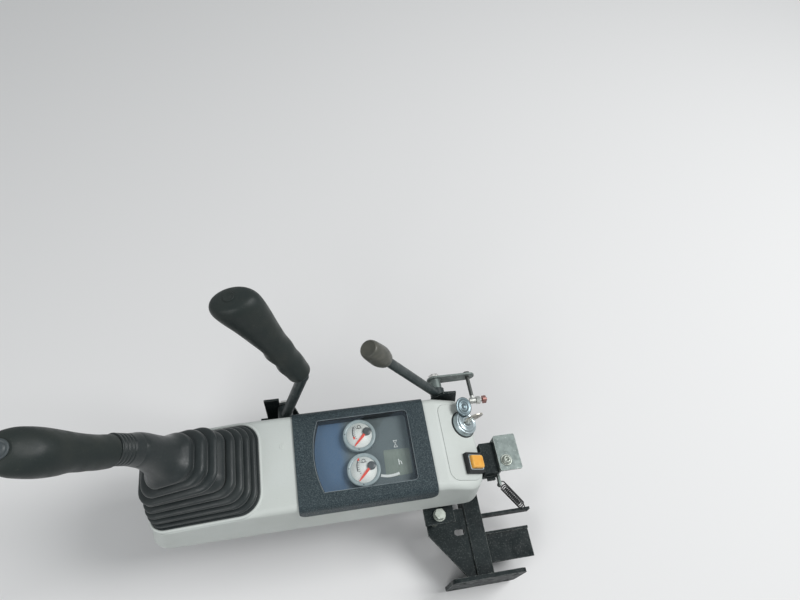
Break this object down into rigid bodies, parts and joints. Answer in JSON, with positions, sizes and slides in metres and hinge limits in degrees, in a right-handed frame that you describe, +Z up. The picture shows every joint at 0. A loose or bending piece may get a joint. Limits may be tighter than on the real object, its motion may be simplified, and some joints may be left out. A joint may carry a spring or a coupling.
{
  "type": "right-hand operator control console",
  "caption": "Tilting seat-side control console with gaitered joystick, instrument panel, key switch, push switch and two side levers on a bolt-on arm.",
  "frame": {"origin": "centre of the four bolt holes on the arm's mounting face", "axes": "+X to the rear of the machine, +Y outboard away from the seat, +Z up"},
  "size_m": [0.6238, 0.3149, 0.4529],
  "materials": {
    "dark_steel": "satin black paint",
    "bright_steel": "bright zinc plating",
    "zinc_plate": "dull zinc plating",
    "cover_plastic": "fine grained moulded plastic",
    "bezel_plastic": "leather grained plastic",
    "smoked_window": "smoked glossy",
    "black_plastic": "matt black",
    "gauge_white": "white dial",
    "needle_red": "red",
    "switch_metal": "satin chrome",
    "switch_orange": "orange lens",
    "cast_metal": "cast and machined",
    "gaiter_rubber": "matt black rubber",
    "grip_rubber": "soft grip moulding",
    "button_grey": "grey button",
    "rod_paint": "grey paint, worn",
    "knob_plastic": "dark knob",
    "spring_steel": "blackened spring steel"
  },
  "bodies": {
    "arm": {"arm": "dark_steel", "tilt_pin": "bright_steel", "spring_bar": "dark_steel"},
    "console": {"tray": "dark_steel", "stop_bolt": "bright_steel", "cover": "cover_plastic", "bezel": "bezel_plastic", "window": "smoked_window", "tub": "black_plastic", "gauge_panel": "black_plastic", "gauge_front": "gauge_white", "gauge_rear": "gauge_white", "needles": "needle_red", "switch_plate": "cover_plastic", "ignition_switch": "switch_metal", "ignition_key": "bright_steel", "dust_cap": "switch_metal", "switch_base": "black_plastic", "switch_cap": "switch_orange", "pilot_valve": "cast_metal", "valve_plungers": "bright_steel", "boot": "gaiter_rubber", "lever_bracket": "dark_steel", "lever_pivots": "bright_steel", "latch_bracket": "zinc_plate", "latch_box": "dark_steel", "latch_bolt": "bright_steel", "latch_spring": "spring_steel"},
    "gimbal": {"gimbal": "bright_steel"},
    "joystick": {"stick": "bright_steel", "cam_plate": "cast_metal", "collar": "gaiter_rubber", "grip": "grip_rubber", "horn_button": "button_grey"},
    "blade_lever": {"blade_rod": "rod_paint", "blade_grip": "grip_rubber"},
    "throttle_lever": {"throttle_rod": "rod_paint", "throttle_knob": "knob_plastic", "throttle_crank": "zinc_plate", "cable_clamp": "bright_steel"}
  },
  "joints": [
    {"name": "console_tilt", "type": "hinge", "parent": "arm", "child": "console", "pos_m": [0, 0.172, 0.034], "axis": [0, 1, 0], "range_deg": [0, 20], "deforming": ["latch_spring"]},
    {"name": "joystick_fore_aft", "type": "hinge", "parent": "console", "child": "gimbal", "pos_m": [-0.3512, 0.172, 0.10726], "axis": [0, 1, 0], "range_deg": [-19, 19], "stiffness_Nm_per_rad": 10, "springref_deg": 3.44, "deforming": ["boot"]},
    {"name": "joystick_side", "type": "hinge", "parent": "gimbal", "child": "joystick", "pos_m": [-0.3512, 0.172, 0.10726], "axis": [0.8988, 0, 0.4384], "range_deg": [-19, 19], "stiffness_Nm_per_rad": 10, "springref_deg": 0.86},
    {"name": "blade_lever_swing", "type": "hinge", "parent": "console", "child": "blade_lever", "pos_m": [-0.269, 0.262, 0.094], "axis": [0, 1, 0], "range_deg": [-15, 15], "stiffness_Nm_per_rad": 6},
    {"name": "throttle_lever_swing", "type": "hinge", "parent": "console", "child": "throttle_lever", "pos_m": [-0.038, 0.256, 0.12], "axis": [0, 1, 0], "range_deg": [0, 35]}
  ]
}
